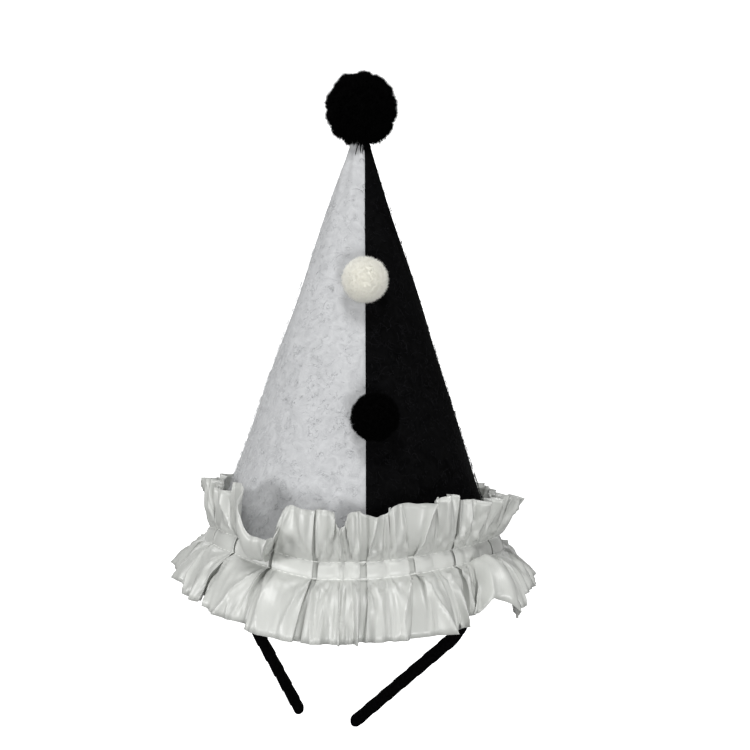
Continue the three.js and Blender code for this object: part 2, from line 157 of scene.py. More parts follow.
LOWER_VALLEYS = [
    dict(open=4, left=-2, right=-2, depth=0.8, lean=4),
    dict(open=2.4, left=-2, right=2.6, depth=0.9, lean=1.5),
    dict(open=2, left=3, right=-5, depth=0.8, lean=-8.5),
    dict(open=6, left=-2.5, right=1.6, depth=1, lean=-2.4),
    dict(open=5.4, left=1.2, right=1, depth=1.1, lean=-2.8),
    dict(open=1, left=-3, right=-3, depth=0.1, lean=0),
    dict(open=1, left=-3, right=-3, depth=0.1, lean=0),
    dict(open=3.2, left=1.2, right=-1.4, depth=1, lean=-2),
    dict(open=1, left=-3, right=-3, depth=0.1, lean=-1),
    dict(open=9, left=0.8, right=-5, depth=0.7, lean=-3),
    dict(open=1, left=-1.6, right=-3, depth=0.2, lean=0.6),
    dict(open=8, left=2.6, right=-0.4, depth=1.5, lean=-5.4),
    dict(open=1.6, left=-0.4, right=4, depth=1.4, lean=-6.8),
    dict(open=1, left=-4, right=-4, depth=0, lean=-1),
    dict(open=3, left=-3, right=2, depth=0.9, lean=-1),
]
VALLEY_UNIT = 0.001
# The valleys behind repeat these rows
BACK_LIKE = (1, 7, 3, 9, 2)
BACK_LEAN = 5
BACK_LEAN_STEP = 2.7
# Creases that fan out from a pinch to the hem. pinch counts the rows above, and ends gives where each one
# ends, in degrees, and how high it stands there in millimetres.
UPPER_CREASES = [
    dict(pinch=1, ends=[(-75, 1), (-63, 0.8)]),
    dict(pinch=2, ends=[(-60, 1.2), (-56, -0.8), (-47, 1.6), (-41, 0.9)]),
    dict(pinch=3, ends=[(-21, 0.9)]),
    dict(pinch=4, ends=[(-19, 1), (-11, 1.4), (-3, 0.9)]),
    dict(pinch=7, ends=[(2.4, -1.4), (8, 1.2), (-4.4, 0.9)]),
    dict(pinch=9, ends=[(16.4, 1), (23, -0.9), (27.6, 1.9)]),
    dict(pinch=11, ends=[(34, 1.2), (46, 0.9), (53, -0.9)]),
    dict(pinch=14, ends=[(58, 1.4), (73, 1.6)]),
]
LOWER_CREASES = [
    dict(pinch=1, ends=[(-74, 1.2)]),
    dict(pinch=2, ends=[(-66, 1), (-49, 1.7), (-53, -1)]),
    dict(pinch=3, ends=[(-44, 1.8), (-39, -0.9), (-27, 1)]),
    dict(pinch=4, ends=[(-22, 1), (-11.5, 1.5), (-5, -0.8)]),
    dict(pinch=7, ends=[(-5, 1), (3.6, 1.5), (9, -0.8)]),
    dict(pinch=9, ends=[(12, 1.2), (28.5, 2.4), (18, 1.1)]),
    dict(pinch=11, ends=[(35, 1.2)]),
    dict(pinch=14, ends=[(61, 2), (49, 1.2), (57, -1)]),
]
CREASE_WIDTH = 0.0009
CREASE_SPREAD = (0.45, 1.35)
CREASE_STRENGTH = 1.5
CREASE_ONSET = 4
CREASE_PATH = 0.8
CREASE_SHARPNESS = 1.2
CREASE_IN_VALLEY = 0.3
BACK_CREASES = 3
BACK_CREASE_REACH = 14
BACK_CREASE_HEIGHTS = (0.7, 1.8)
# Places where a frill's sizes change inside one puff, from a start to an end across it. At the left the
# upper frill bulges over the casing and its hem drops, and at the right the lower one leaves its
# stitches upwards and bends down like a flute. soft is how much of the way it takes to come and to go.
BUCKLES = [
    dict(side=1, puff=2, start=0.28, end=1.2, soft=(0.5, 0.1), sizes=dict(stitch=148, bend=0.8)),
    dict(side=1, puff=2, start=0.3, end=1.2, soft=(0.5, 0.1), sizes=dict(length=0.98, hem=-4)),
    dict(side=1, puff=3, start=-0.2, end=0.3, soft=(0.1, 0.7), sizes=dict(length=0.74)),
    dict(side=-1, puff=12, start=0, end=1, soft=(0.2, 0.6), sizes=dict(stitch=138, hem=0, bend=0.8)),
    dict(side=-1, puff=12, start=-0.3, end=0.55, soft=(0.1, 0.7), sizes=dict(length=0.88)),
    dict(side=-1, puff=2, start=-0.3, end=0.7, soft=(0.1, 0.6), sizes=dict(length=0.86)),
]
FLOOR_COLUMNS = 3
FOLD_COLUMNS = 5
PUFF_COLUMNS = 44
PUFF_CROWDING = 0.4
FOLD_ROUNDNESS = 1.4
CASING_ROWS = 6
CURVE_STEPS = 14
UPPER_ROWS = 12
LOWER_ROWS = 13
ROW_CROWDING = 1.2
HEM_REACH = 1.2
LEAN_POWER = 1.1
NEIGHBOUR_POWER = 0.3
FACING_ONSET = 6
CASING_ROUNDNESS = 0.7
GROOVE_SHARPNESS = 4
PUFF_CROWN = 0.0007
PUFF_CROWN_GROWTH = 2
PINCH_FOLD = 0.0006
PINCH_FOLD_REACH = 0.006
PINCH_FOLD_ONSET = 8
PINCH_FOLDS = 11
PINCH_FOLD_TURNS = (0, 1.7)
PUFF_PHASE = 2.3
HEM_WAVE = 0.0012
HEM_WAVES = 1.3
HEM_WAVE_POWER = 1.5
LIP = 0.22
LIP_WIDTH = 0.0016
RUMPLE = 0.0009
RUMPLE_ONSET = 0.7
RUMPLE_SHARPNESS = 0.8
RUMPLE_SIDE_TURN = 2
# How many waves go round, how far they sweep on their way to the hem, and where they start
RUMPLE_WAVES = [(37, 2.1, 0.4), (53, -1.6, 2.2), (71, 2.9, 4.1), (97, -2.4, 1.2)]
CLOTH_FULLNESS = 1.8

# Stitches along the two rows
THREAD_RADIUS = 0.00022
STITCH_LENGTH = 0.0026
STITCH_PITCH = 0.0034
STITCH_LENGTHS = (0.85, 1.1)
STITCH_DIP = (-1, 0.2, 0.5, 0.2, -1)
THREAD_SIDES = 6
THREAD_END = 0.45
THREAD_LIFT = 0.6
CREST_FULLNESS = 0.98
BRIDGE_LENGTH = 0.0022
BRIDGE_OVERLAP = 0.12
BRIDGE_POINTS = 7

# Pompoms: rise is the height over the cone's rim, turn is in degrees from the front towards +X
TOP_POMPOM = dict(
    radius=0.0184, over_tip=0.0152, tall=1.045,
    tufts=60, strands=13000, thick=0.0003, lump=0.048, wild=0.025, stray=0.22)
WHITE_POMPOM = dict(
    radius=0.0112, rise=0.135, turn=5.1, sink=0.15,
    tufts=160, strands=15000, thick=0.00011, lump=0.014, wild=0.035)
BLACK_POMPOM = dict(
    radius=0.0119, rise=0.0724, turn=8.7, sink=0.15,
    tufts=70, strands=12000, thick=0.00013, lump=0.045, wild=0.02)
POMPOM_CORE = 0.84
POMPOM_RINGS = 60
POMPOM_SIDES = 90
TUFT_JITTER = 0.09
TUFT_REACH = 1.5
STRAND_ROOT = 0.7
STRAND_JITTER = 0.03
STRAND_GATHER = 0.55
STRAND_MIDDLE = 0.55
STRAND_CURL = 0.025
# The top pompom has one long stray tuft: the way it points, and how narrow it is
STRAY_WAY = (-0.45, -0.3, 0.84)
STRAY_WIDTH = 0.11
# Loose yarn ends under the top pompom: where they start from the tip, how they spread and hang
TIE_ENDS = 16
TIE_STEPS = 8
TIE_STEP = 0.0011
TIE_THICK = 0.0004
TIE_GAP = 0.0003
TIE_START = (0.002, 0.002)
TIE_SPREAD = (0.0016, 0.0012, 0.001)
TIE_HEADING = (0.12, -0.3, -1)
TIE_HEADING_SPREAD = (0.175, 0.105, 0)
TIE_CURL = (0.16, 0.064, 0.048)

# Headband: an arch over the head, two tighter shoulders and two straight legs
BAND_WIDTH = 0.0076
BAND_THICKNESS = 0.0062
ARCH_RADIUS = 0.0775
SHOULDER_RADIUS = 0.0374
LEFT_BAND = dict(arch=0.0328, shoulder=0.0541, leg=0.0776)
RIGHT_BAND = dict(arch=0.0434, shoulder=0.0611, leg=0.0887)
BAND_LEAN = 34.4
BAND_TWIST_LENGTH = 0.025
WRAP_PITCH = 0.0135
WRAP_EDGE = 0.0009
WRAP_RISE = 0.00045
TIP_ROUNDING = 0.0034
BAND_SIDES = 40
BAND_STEP = 0.0007
BAND_SQUARENESS = 2.6
BAND_SHARP = 70
WRAP_SLANT = 0.45
WRAP_SHIFT = 0.25
TIP_LEAST = 0.02

# Felt fibres that stand off the cone
FELT_FIBRES = 2600
FIBRE_LENGTH = 0.006
FIBRE_LENGTHS = (0.4, 1.3)
FIBRE_THICK = 0.00009
FIBRE_STEPS = 7
FIBRE_BEND = 0.75
FIBRE_LIFT = (0.0001, 0.0007)
FIBRE_SEAT = 0.00005
FIBRE_TOP_SHARE = 0.0004
FIBRE_RIM_GAP = 0.01
FIBRE_TIP_GAP = 0.004
FIBRE_SEAM_TURN = 3
FIBRE_BACK_TURN = 0.1
FIBRE_LEAST_RADIUS = 0.006

# Camera and room
CAMERA_PLACE = (0, -0.6958, 0.1597)
CAMERA_AIM = (0, 0, 0.0832)
CAMERA_LENS = 67.2
CAMERA_SENSOR = 36
CAMERA_SHIFT_X = 0.030
CAMERA_SHIFT_Y = 0.0348
BACKDROP_Y = 1.5
BACKDROP_SIZE = 1.8
WORLD_LIGHT = 0.27
LIGHT_AIM = (0, 0, 0.05)
LIGHTS = [
    dict(name="key", place=(-0.05, -0.8, 1.15), size=0.4, energy=8),
    dict(name="front", place=(0.3, -1.6, -0.2), size=0.4, energy=10),
    dict(name="left", place=(-1.2, -0.8, 0.1), size=0.4, energy=8),
    dict(name="right", place=(1.2, -0.8, 0.3), size=0.5, energy=3),
    dict(name="back", place=(-0.5, 0.9, 0.9), size=0.5, energy=3),
]

SEEDS = dict(fibres_left=11, fibres_right=12, stitches=14, yarn_top=16, yarn_white=17, yarn_black=18, tie=19,
             upper_creases=31, lower_creases=32)


def wave(share):
    return share * share * (3 - 2 * share)


def mix(a, b, share):
    return a + (b - a) * share


# Meshes


def add_piece(name, points, faces, material, corner_uv=None, sharp=None):
    mesh = bpy.data.meshes.new(name)
    mesh.from_pydata(np.asarray(points).tolist(), [], faces)
    mesh.shade_smooth()
    if sharp:
        mesh.set_sharp_from_angle(angle=math.radians(sharp))
    if corner_uv is not None:
        layer = mesh.uv_layers.new(name="cloth")
        index = np.empty(len(mesh.loops), dtype=np.int32)
        mesh.loops.foreach_get("vertex_index", index)
        layer.data.foreach_set("uv", np.asarray(corner_uv)[index].ravel())
    mesh.materials.append(material)
    piece = bpy.data.objects.new(name, mesh)
    bpy.context.scene.collection.objects.link(piece)
    return piece


def wall_faces(rows, columns, all_round):
    """Faces of a closed wall between two matching grids, the outer one first."""
    def at(side, row, column):
        return side * rows * columns + row * columns + column % columns

    faces = []
    spans = columns if all_round else columns - 1
    for j in range(spans):
        for i in range(rows - 1):
            faces.append((at(0, i, j), at(0, i, j + 1), at(0, i + 1, j + 1), at(0, i + 1, j)))
            faces.append((at(1, i, j + 1), at(1, i, j), at(1, i + 1, j), at(1, i + 1, j + 1)))
        faces.append((at(1, 0, j), at(1, 0, j + 1), at(0, 0, j + 1), at(0, 0, j)))
        faces.append((at(0, rows - 1, j), at(0, rows - 1, j + 1), at(1, rows - 1, j + 1), at(1, rows - 1, j)))
    if not all_round:
        for i in range(rows - 1):
            faces.append((at(0, i, 0), at(0, i + 1, 0), at(1, i + 1, 0), at(1, i, 0)))
            faces.append((at(1, i, spans), at(1, i + 1, spans), at(0, i + 1, spans), at(0, i, spans)))
    return faces


def tube_faces(rings, sides, start=0):
    """Faces of a closed tube of rings and of its two ends, whose points begin at a start."""
    faces = []
    for i in range(rings - 1):
        a, b = start + i * sides, start + (i + 1) * sides
        for j in range(sides):
            k = (j + 1) % sides
            faces.append((a + j, a + k, b + k, b + j))
    last = start + (rings - 1) * sides
    faces.append(tuple(range(start, start + sides))[::-1])
    faces.append(tuple(range(last, last + sides)))
    return faces


def unit(vectors):
    return vectors / np.maximum(np.linalg.norm(vectors, axis=-1, keepdims=True), 1e-12)


def strand_points(paths, thick):
    """Three-sided strands that taper to a point. paths has the shape (strands, points, 3)."""
    count, length, _ = paths.shape
    along = unit(np.gradient(paths, axis=1))
    across = unit(np.cross(along, along[:, ::-1] + (0.31, 0.87, 0.39)))
    beside = np.cross(along, across)
    rings = length - 1
    taper = thick * (1 - 0.5 * np.arange(rings) / rings)
    corners = []
    for turn in (0, 2 * math.pi / 3, 4 * math.pi / 3):
        offset = across * math.cos(turn) + beside * math.sin(turn)
        corners.append(paths[:, :rings] + offset[:, :rings] * taper[None, :, None])
    bodies = np.stack(corners, axis=2).reshape(count, rings * 3, 3)
    return np.concatenate([bodies, paths[:, -1:]], axis=1).reshape(-1, 3)


def strand_faces(count, length, start=0):
    rings = length - 1
    size = rings * 3 + 1
    pattern = []
    for i in range(rings - 1):
        for j in range(3):
            k = (j + 1) % 3
            pattern.append((i * 3 + j, i * 3 + k, (i + 1) * 3 + k, (i + 1) * 3 + j))
    tips = [((rings - 1) * 3 + j, (rings - 1) * 3 + (j + 1) % 3, size - 1) for j in range(3)]
    base = start + np.arange(count)[:, None, None] * size
    quads = (np.array(pattern)[None] + base).reshape(-1, 4).tolist() if pattern else []
    return quads + (np.array(tips)[None] + base).reshape(-1, 3).tolist()


# Cone


def cone_radius(z):
    return BASE_RADIUS - (z - RIM_Z) * CONE_SLOPE


def cone_centre(z):
    return (z - RIM_Z) / (TIP_Z - RIM_Z) * TIP_SHIFT


def around_cone(radius, turn, z):
    """Points at a radius and a turn from the front, about the cone's middle at each height."""
    return np.stack([cone_centre(z) + radius * np.sin(turn), -radius * np.cos(turn), z + 0 * turn], axis=-1)


def felt_half(name, side, material):
    z = np.linspace(RIM_Z, TIP_Z, FELT_ROWS)[:, None]
    radius = cone_radius(z)
    gap = SEAM_GAP / 2 / radius
    start = np.arctan(SEAM_OFFSET / radius) + math.radians(SEAM_TURN) + side * gap
    end = side * (math.pi - gap)
    across = np.linspace(0, 1, FELT_COLUMNS)[None, :]
    across = mix(across, wave(across), FELT_SEAM_CROWDING)
    turn = start + (end - start) * across
    from_seam = np.minimum(np.abs(turn - start), np.abs(end - turn)) * radius
    roll = SEAM_ROLL * np.exp(-from_seam / SEAM_ROLL_WIDTH)
    waves = [np.sin(count * turn + climb * z + begin) for count, climb, begin in FELT_SWAY_WAVES]
    sway = FELT_SWAY * sum(waves) * np.minimum(1, (z - RIM_Z) / FELT_SWAY_START)
    outer = around_cone(radius + sway - roll, turn, z)
    inner = around_cone(radius - FELT_WALL, turn, z)
    points = np.concatenate([outer.reshape(-1, 3), inner.reshape(-1, 3)])
    return add_piece(name, points, wall_faces(FELT_ROWS, FELT_COLUMNS, False), material, sharp=FELT_SHARP)


def base_disc(material):
    low, high = (np.array(corner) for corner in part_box("base_disc"))
    thickness = high[2] - low[2]
    radius = (high[0] - low[0]) / 2
    edge = 1 - DISC_EDGE / radius
    shares = [*DISC_RINGS, edge, 1, 1, edge, *DISC_RINGS[::-1]]
    flat = len(DISC_RINGS) + 1
    heights = [0] * flat + [DISC_EDGE, thickness - DISC_EDGE] + [thickness] * flat
    turn = np.arange(DISC_SIDES) * 2 * math.pi / DISC_SIDES
    rings = []
    for share, up in zip(shares, heights):
        slope = CONE_SLOPE * up / radius
        reach = radius * (share - slope)
        rings.append(np.stack([reach * np.cos(turn), reach * np.sin(turn), low[2] + up + 0 * turn], axis=-1))
    faces = tube_faces(len(rings), DISC_SIDES)
    return add_piece("base_felt", np.concatenate(rings), faces, material, sharp=FELT_SHARP)


def felt_fibres(name, side, material, seed):
    """Fine curly fibres that lie on one half of the cone and lift a little off it."""
    random = np.random.default_rng(seed)
    count = FELT_FIBRES
    share = 1 - np.sqrt(random.uniform(FIBRE_TOP_SHARE, 1, count))
    z = mix(RIM_Z + FIBRE_RIM_GAP, TIP_Z - FIBRE_TIP_GAP, share)
    start = math.radians(SEAM_TURN + FIBRE_SEAM_TURN)
    right = random.uniform(start, math.pi, count)
    left = random.uniform(-math.pi, start - FIBRE_BACK_TURN, count)
    turn = right if side > 0 else left
    heading = random.uniform(0, 2 * math.pi, count)
    bend = random.normal(0, FIBRE_BEND, count)
    length = FIBRE_LENGTH * random.uniform(*FIBRE_LENGTHS, count) / FIBRE_STEPS
    lift = random.uniform(*FIBRE_LIFT, count)
    paths = np.empty((count, FIBRE_STEPS, 3))
    for i in range(FIBRE_STEPS):
        radius = cone_radius(z)
        rise = lift * math.sin(math.pi * i / (FIBRE_STEPS - 1)) + FIBRE_SEAT
        paths[:, i] = around_cone(radius + rise + FELT_SWAY, turn, z)
        turn = turn + np.cos(heading) * length / np.maximum(radius, FIBRE_LEAST_RADIUS)
        z = z + np.sin(heading) * length
        heading = heading + bend
    return add_piece(name, strand_points(paths, FIBRE_THICK), strand_faces(count, FIBRE_STEPS), material)


# Ruffle


def wander(size, i):
    mean, swing, step, start = size
    return mean + swing * math.sin(start + step * i)


def all_puffs():
    span = PUFFS[0]["valley"] + 360 - BACK_START
    puffs = [dict(puff) for puff in PUFFS]
    for i in range(BACK_PUFFS):
        share = i / BACK_PUFFS
        sizes = {side: tuple(wander(size, i) for size in parts) for side, parts in BACK_WANDER.items()}
        rise = mix(*BACK_RISE, share)
        puffs.append(dict(valley=BACK_START + span * share, rise=rise, **sizes))
    return puffs


def all_valleys(front):
    """The valleys in view, and behind them plain ones that repeat those sizes and wander sideways."""
    back = []
    for i in range(BACK_PUFFS):
        valley = dict(front[BACK_LIKE[i % len(BACK_LIKE)]])
        if "lean" in valley:
            valley["lean"] = BACK_LEAN * math.sin(BACK_LEAN_STEP * i)
        back.append(valley)
    return [dict(valley) for valley in front] + back


def all_creases(front, seed):
    random = np.random.default_rng(seed)
    puffs = all_puffs()
    creases = [(fan["pinch"], hem, height) for fan in front for hem, height in fan["ends"]]
    for i in range(len(PUFFS), len(puffs)):
        for _ in range(BACK_CREASES):
            hem = puffs[i]["valley"] + random.uniform(-BACK_CREASE_REACH, BACK_CREASE_REACH)
            creases.append((i, hem, random.uniform(*BACK_CREASE_HEIGHTS)))
    return creases


def column_of(rows, key):
    """One named size of every puff or valley, as a column that goes with (rows, puffs, columns)."""
    return np.array([row[key] for row in rows], dtype=float)[None, :, None]


def after_this(sizes):
    return np.roll(sizes, -1, axis=1)


def puff_section(open_left, open_right, lap_left, lap_right, width):
    """Across one puff: how far along each column lies, how full the cloth stands there, and its crown."""
    floor = np.arange(FLOOR_COLUMNS) / FLOOR_COLUMNS
    fold = (np.arange(FOLD_COLUMNS) + 0.5) / FOLD_COLUMNS
    puff = np.linspace(0, 1, PUFF_COLUMNS)
    puff = puff - PUFF_CROWDING * np.sin(2 * math.pi * puff) / (2 * math.pi)
    left = open_left / 2 - lap_left
    right = width - open_right / 2 + lap_right
    along = np.concatenate([
        open_left / 2 * floor,
        open_left / 2 - lap_left * wave(fold),
        left + (right - left) * puff,
        width - open_right / 2 + lap_right * wave(fold[::-1]),
        width - open_right / 2 * floor[:0:-1],
    ], axis=-1)
    span = right - left
    lip = np.exp(-(span * puff / LIP_WIDTH) ** 2) + np.exp(-(span * (1 - puff) / LIP_WIDTH) ** 2)
    rise = np.sin(fold * math.pi / 2) ** FOLD_ROUNDNESS * (1 + LIP)
    flat = 0 * span
    full = np.concatenate(
        [flat + 0 * floor, flat + rise, 1 + LIP * lip, flat + rise[::-1], flat + 0 * floor[1:]], axis=-1)
    crown = np.concatenate([0 * floor, 0 * fold, np.sin(math.pi * puff), 0 * fold, 0 * floor[1:]])
    return along, full, crown[None, None, :]


def crease_lift(side, turn, share):
    """How far the creases of one frill lift the cloth at each turn of one row."""
    puffs = all_puffs()
    front = UPPER_CREASES if side > 0 else LOWER_CREASES
    seed = SEEDS["upper_creases" if side > 0 else "lower_creases"]
    lift = 0 * turn
    width = CREASE_WIDTH * mix(*CREASE_SPREAD, share)
    for pinch, hem, height in all_creases(front, seed):
        path = math.radians(mix(puffs[pinch]["valley"], hem, share ** CREASE_PATH))
        away = (turn - path + math.pi) % (2 * math.pi) - math.pi
        ridge = np.exp(-np.abs(away * BASE_RADIUS / width) ** CREASE_SHARPNESS)
        lift = lift + height * VALLEY_UNIT * min(1, share * CREASE_ONSET) * ridge
    return lift * CREASE_STRENGTH


def window(share_across, place):
    """How strongly a buckle works across its own puff, and not at all in the others."""
    begin, end = place["start"], place["end"]
    across = (share_across - begin) / (end - begin)
    come, go = place["soft"]
    strength = wave(np.clip(np.minimum(across / come, (1 - across) / go), 0, 1))
    own = np.arange(share_across.shape[1])[None, :, None] == place["puff"]
    return strength * own


FRILL_SIZES = ("length", "stitch", "hem", "bend")


def frill_sizes(side, share_across):
    """Length, stitch angle, hem angle and bend of a frill in every column."""
    puffs = all_puffs()
    key, width = ("upper", UPPER_FRILL) if side > 0 else ("lower", LOWER_FRILL)
    own_share = np.clip(4 * share_across * (1 - share_across), 0, 1) ** NEIGHBOUR_POWER
    sizes = {}
    for i, name in enumerate(FRILL_SIZES):
        own = np.array([puff[key][i] for puff in puffs], dtype=float)[None, :, None]
        neighbour = np.where(share_across < 0.5, np.roll(own, 1, axis=1), np.roll(own, -1, axis=1))
        sizes[name] = mix((own + neighbour) / 2, own, own_share)
    for buckle in BUCKLES:
        if buckle["side"] == side:
            strength = window(share_across, buckle)
            for name, value in buckle["sizes"].items():
                sizes[name] = mix(sizes[name], value, strength)
    return sizes["length"] * width, np.radians(sizes["stitch"]), np.radians(sizes["hem"]), sizes["bend"]


def frill_curve(length, stitch, hem, bend, share):
    """How far out and along a frill has come at a share of its length, and its angle there."""
    out, along = 0, 0
    for i in range(CURVE_STEPS):
        part = share * (i + 0.5) / CURVE_STEPS
        angle = mix(stitch, hem, part ** bend)
        out = out + np.sin(angle)
        along = along + np.cos(angle)
    step = length * share / CURVE_STEPS
    return out * step, along * step, mix(stitch, hem, share ** bend)


def pinch_folds(along, width, down, phase):
    """Small folds that fan out from the pinches at both sides of a puff."""
    folds = 0
    for distance, turn in zip((along, width - along), PINCH_FOLD_TURNS):
        reach = np.hypot(distance, down)
        ray = np.arctan2(down, np.maximum(distance, 1e-5))
        strength = reach / PINCH_FOLD_REACH * np.exp(1 - reach / PINCH_FOLD_REACH)
        folds = folds + PINCH_FOLD * strength * np.cos(PINCH_FOLDS * ray + phase + turn)
    return folds


def rumple(turn, share, side):
    """Slow uneven waves of the cloth, long across the ribbon and short along it."""
    lift = 0
    for count, sweep, start in RUMPLE_WAVES:
        place = count * turn + sweep * share + start + RUMPLE_SIDE_TURN * side
        ridge = 1 - 2 * np.abs(np.sin(place / 2)) ** RUMPLE_SHARPNESS
        lift = lift + ridge * RUMPLE_WAVES[0][0] / count
    return RUMPLE * lift * share ** RUMPLE_ONSET


def ruffle_rows():
    """Every row from the lower hem to the upper one, as the side that it is on and its share there."""
    lower = [(-1, (1 - i / LOWER_ROWS) ** ROW_CROWDING) for i in range(LOWER_ROWS)]
    casing = [(0, i / (CASING_ROWS - 1)) for i in range(CASING_ROWS)]
    upper = [(1, ((i + 1) / UPPER_ROWS) ** ROW_CROWDING) for i in range(UPPER_ROWS)]
    return lower + casing + upper


def row_section(side, share):
    """Every column of one row: where it stands, how full the cloth is there, and its puff's sizes."""
    puffs = all_puffs()
    casing = all_valleys(CASING_VALLEYS)
    hem = all_valleys(UPPER_VALLEYS if side > 0 else LOWER_VALLEYS)

    def valley_size(key):
        return mix(column_of(casing, key), column_of(hem, key), share) * VALLEY_UNIT

    def nearest_depth(rows):
        depth = column_of(rows, "depth")
        return np.where(along < width / 2, depth, after_this(depth))

    valley = column_of(puffs, "valley") + column_of(hem, "lean") * share ** LEAN_POWER
    after = after_this(valley)
    after[:, -1] += 360
    reach = BASE_RADIUS * mix(1, HEM_REACH, share)
    width = np.radians(after - valley) * reach
    opening = valley_size("open")
    along, full, crown = puff_section(
        opening, after_this(opening), valley_size("right"), after_this(valley_size("left")), width)
    rise = column_of(puffs, "rise") * VALLEY_UNIT
    return dict(
        turn=np.radians(valley) + along / reach, along=along, width=width, full=full, crown=crown,
        rise=mix(rise, after_this(rise), along / width),
        pinched=nearest_depth(casing), depth=nearest_depth(hem))


def casing_row(at, share):
    """Radius and height of every column of one row of the casing."""
    z = CASING_Z + at["rise"] + (share - 0.5) * CASING_HEIGHT
    arch = math.sin(math.pi * share)
    swell = CASING_BULGE * arch ** CASING_ROUNDNESS - STITCH_GROOVE * (1 - arch) ** GROOVE_SHARPNESS
    radius = cone_radius(z) + SEAT_GAP + SATIN_WALL + CASING_DEPTH * (1 - at["pinched"] * (1 - at["full"]))
    return radius + at["crown"] * PUFF_CROWN + at["full"] * swell, z


def frill_row(at, side, share):
    """Radius and height of every column of one row of the upper or the lower frill."""
    along, width, full, turn = at["along"], at["width"], at["full"], at["turn"]
    length, stitch, hem, bend = frill_sizes(side, along / width)
    out, up, angle = frill_curve(length, stitch, hem, bend, share)
    hem_depth = (UPPER_DEPTH if side > 0 else LOWER_DEPTH) * at["depth"]
    depth = mix(CASING_DEPTH * at["pinched"], hem_depth, share)
    phase = np.arange(along.shape[1])[None, :, None] * PUFF_PHASE + side
    hem_wave = np.sin(2 * math.pi * HEM_WAVES * along / width + phase)
    ripple = rumple(turn, share, side) + HEM_WAVE * share ** HEM_WAVE_POWER * hem_wave
    folds = pinch_folds(along, width, length * share, phase)
    ripple = ripple + folds * min(1, share * PINCH_FOLD_ONSET)
    crown = at["crown"] * PUFF_CROWN * (1 + PUFF_CROWN_GROWTH * share)
    lift = full * (ripple + crown) - depth * (1 - full)
    lift = lift + crease_lift(side, turn, share) * mix(CREASE_IN_VALLEY, 1, full)
    facing = angle * min(1, share * FACING_ONSET)
    root = CASING_Z + at["rise"] + side * CASING_HEIGHT / 2
    radius = cone_radius(root) + SEAT_GAP + SATIN_WALL + CASING_DEPTH + out + lift * np.cos(facing)
    return radius, root + side * (up - lift * np.sin(facing))


def ruffle_row(side, share):
    """The points of one row of the ruffle, and how full each of them stands."""
    at = row_section(side, share if side else 0)
    radius, z = frill_row(at, side, share) if side else casing_row(at, share)
    x = cone_centre(CASING_Z) + radius * np.sin(at["turn"])
    points = np.stack([x, -radius * np.cos(at["turn"]), z], axis=-1)
    return points.reshape(-1, 3), at["full"].ravel()


def ruffle(material):
    rows = [ruffle_row(side, share)[0] for side, share in ruffle_rows()]
    outer = np.stack(rows)
    count, columns = outer.shape[:2]
    across = np.roll(outer, -1, axis=1) - np.roll(outer, 1, axis=1)
    up = np.gradient(outer, axis=0)
    normal = unit(np.cross(across, up))
    inner = outer - normal * SATIN_WALL
    points = np.concatenate([outer.reshape(-1, 3), inner.reshape(-1, 3)])
    step = np.linalg.norm(np.diff(outer, axis=0), axis=-1).mean(axis=1)
    height = np.concatenate([[0], np.cumsum(step)])
    around = np.linspace(0, 2 * math.pi * BASE_RADIUS * CLOTH_FULLNESS, columns)
    uv = np.stack(np.broadcast_arrays(around[None, :], height[:, None]), axis=-1).reshape(-1, 2)
    uv = np.concatenate([uv, uv])
    piece = add_piece("ruffle_satin", points, wall_faces(count, columns, True), material, uv)
    lengths = np.linalg.norm(np.roll(outer, -1, axis=1) - outer, axis=-1).sum(axis=1)
    area = float((mix(lengths[1:], lengths[:-1], 0.5) * step).sum())
    return piece, float(height[-1]), area


def thread_tube(path, start):
    """A thin tube along a path, as points and as faces that count its points from a start."""
    along = unit(np.gradient(path, axis=0))
    outward = unit(np.stack([path[:, 0], path[:, 1], 0 * path[:, 0]], axis=-1))
    beside = unit(np.cross(along, outward))
    outward = np.cross(beside, along)
    size = np.full(len(path), THREAD_RADIUS)
    size[[0, -1]] *= THREAD_END
    turns = (np.arange(THREAD_SIDES) * 2 * math.pi / THREAD_SIDES)[None, :, None]
    ring = outward[:, None] * np.cos(turns) + beside[:, None] * np.sin(turns)
    points = (path[:, None] + size[:, None, None] * ring).reshape(-1, 3)
    return points, tube_faces(len(path), THREAD_SIDES, start)


def stitch_paths(share, random):
    """Where the thread runs in one stitched row: a bridge over every valley, then stitches on the puffs."""
    row, full = ruffle_row(0, share)
    high = full > CREST_FULLNESS
    crest = row[high] + unit(row * (1, 1, 0))[high] * THREAD_RADIUS * THREAD_LIFT
    closed = np.concatenate([crest, crest[:1]])
    steps = np.linalg.norm(np.diff(closed, axis=0), axis=1)
    place = np.concatenate([[0], np.cumsum(steps)])
    bridge = steps > BRIDGE_LENGTH
    share_across = np.linspace(-BRIDGE_OVERLAP, 1 + BRIDGE_OVERLAP, BRIDGE_POINTS)[:, None]
    paths = [mix(closed[i], closed[i + 1], share_across) for i in np.flatnonzero(bridge)]
    for begin in np.arange(0, place[-1] - STITCH_PITCH, STITCH_PITCH):
        length = STITCH_LENGTH * random.uniform(*STITCH_LENGTHS)
        if bridge[np.searchsorted(place, begin + length / 2) - 1]:
            continue
        where = np.linspace(begin, begin + length, len(STITCH_DIP))
        path = np.stack([np.interp(where, place, closed[:, axis]) for axis in range(3)], axis=-1)
        dip = np.array(STITCH_DIP)[:, None] * THREAD_RADIUS
        paths.append(path + unit(path * (1, 1, 0)) * dip)
    return paths


def stitches(material):
    """Thread along both stitched rows."""
    random = np.random.default_rng(SEEDS["stitches"])
    points, faces, count = [], [], 0
    for share in (0, 1):
        for path in stitch_paths(share, random):
            stitch, stitch_faces = thread_tube(path, count)
            points.append(stitch)
            faces.extend(stitch_faces)
            count += len(stitch)
    return add_piece("stitch_thread", np.concatenate(points), faces, material)


# Pompoms


